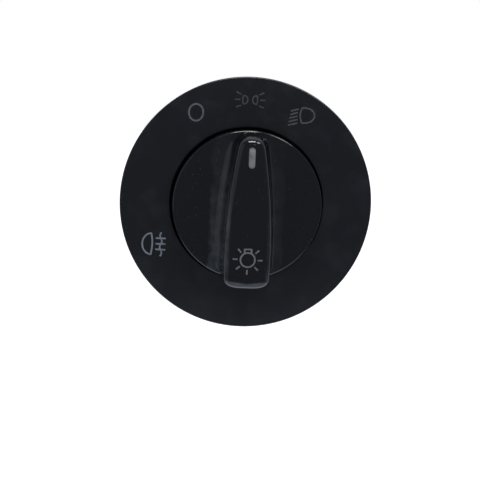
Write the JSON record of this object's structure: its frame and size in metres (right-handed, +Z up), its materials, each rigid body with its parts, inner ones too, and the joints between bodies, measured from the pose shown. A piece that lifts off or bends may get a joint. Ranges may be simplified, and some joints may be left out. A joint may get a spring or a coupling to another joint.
{
  "type": "rotary headlight switch",
  "caption": "Round dashboard headlight switch with a sculpted turning, pulling and pushing knob, symbol faceplate, side release latches and a rear plug socket.",
  "frame": {"origin": "on the knob's axis, in the plane of the faceplate rim's rear face, which rests on the dashboard", "axes": "+Y from the face towards the rear plug socket, along the knob's axis; +Z up as mounted; +X to the driver's right when facing the switch"},
  "size_m": [0.072, 0.0613, 0.072],
  "materials": {
    "black_satin": "satin",
    "black_gloss": "gloss",
    "clear_plastic": "clear moulded",
    "natural_acetal": "moulded",
    "spring_steel": "drawn",
    "black_filled": "moulded",
    "grey_filled": "moulded",
    "zinc_steel": "zinc plated",
    "contact_bronze": "stamped",
    "tinned_brass": "stamped",
    "board_laminate": "punched laminate",
    "lamp_white": "cast resin"
  },
  "bodies": {
    "body": {"faceplate": "black_satin", "light_guide": "clear_plastic", "housing": "black_filled", "bearing_plate": "grey_filled", "plate_screws": "zinc_steel", "ring_washer": "spring_steel", "latch_spring_left": "spring_steel", "latch_spring_right": "spring_steel", "detent_spring": "spring_steel", "fog_terminals": "contact_bronze", "contact_board": "board_laminate", "contact_tracks": "contact_bronze", "symbol_lamps": "lamp_white", "knob_lamp": "lamp_white", "terminal_blades": "tinned_brass", "rear_cover": "black_filled"},
    "rotor": {"rotor": "natural_acetal", "rotary_contact": "contact_bronze"},
    "shaft": {"shaft": "natural_acetal", "shaft_clip": "spring_steel", "push_spring": "spring_steel"},
    "knob": {"knob": "black_gloss", "pointer_light_guide": "clear_plastic"},
    "fog_slider": {"fog_slider": "grey_filled", "fog_contact": "contact_bronze"},
    "release_ring": {"release_ring": "natural_acetal"},
    "latch_left": {"latch_left": "natural_acetal"},
    "latch_right": {"latch_right": "natural_acetal"}
  },
  "joints": [
    {"name": "knob_turn", "type": "hinge", "parent": "body", "child": "rotor", "pos_m": [0, 0, 0], "axis": [0, -1, 0], "range_deg": [-31, 31], "deforming": ["detent_spring"]},
    {"name": "knob_pull", "type": "slide", "parent": "rotor", "child": "shaft", "axis": [0, -1, 0], "range_m": [0, 0.005]},
    {"name": "knob_push", "type": "slide", "parent": "shaft", "child": "knob", "axis": [0, -1, 0], "range_m": [-0.0025, 0], "stiffness_N_per_m": 800, "springref_m": 0.002, "deforming": ["push_spring"]},
    {"name": "fog_slide", "type": "slide", "parent": "body", "child": "fog_slider", "axis": [0, -1, 0], "range_m": [0, 0.005]},
    {"name": "release_turn", "type": "hinge", "parent": "body", "child": "release_ring", "pos_m": [0, 0, 0], "axis": [0, -1, 0], "range_deg": [-25, 0]},
    {"name": "latch_left_slide", "type": "slide", "parent": "body", "child": "latch_left", "axis": [-1, 0, 0], "range_m": [-0.0024, 0], "stiffness_N_per_m": 700, "springref_m": 0.003, "deforming": ["latch_spring_left"]},
    {"name": "latch_right_slide", "type": "slide", "parent": "body", "child": "latch_right", "axis": [1, 0, 0], "range_m": [-0.0024, 0], "stiffness_N_per_m": 700, "springref_m": 0.003, "deforming": ["latch_spring_right"]}
  ],
  "couplings": [
    {"joint": "fog_slide", "follows": "knob_pull", "ratio": 1},
    {"joint": "latch_left_slide", "follows": "latch_right_slide", "ratio": 1},
    {"joint": "release_turn", "follows": "latch_right_slide", "rad_per_m": 181.8}
  ]
}
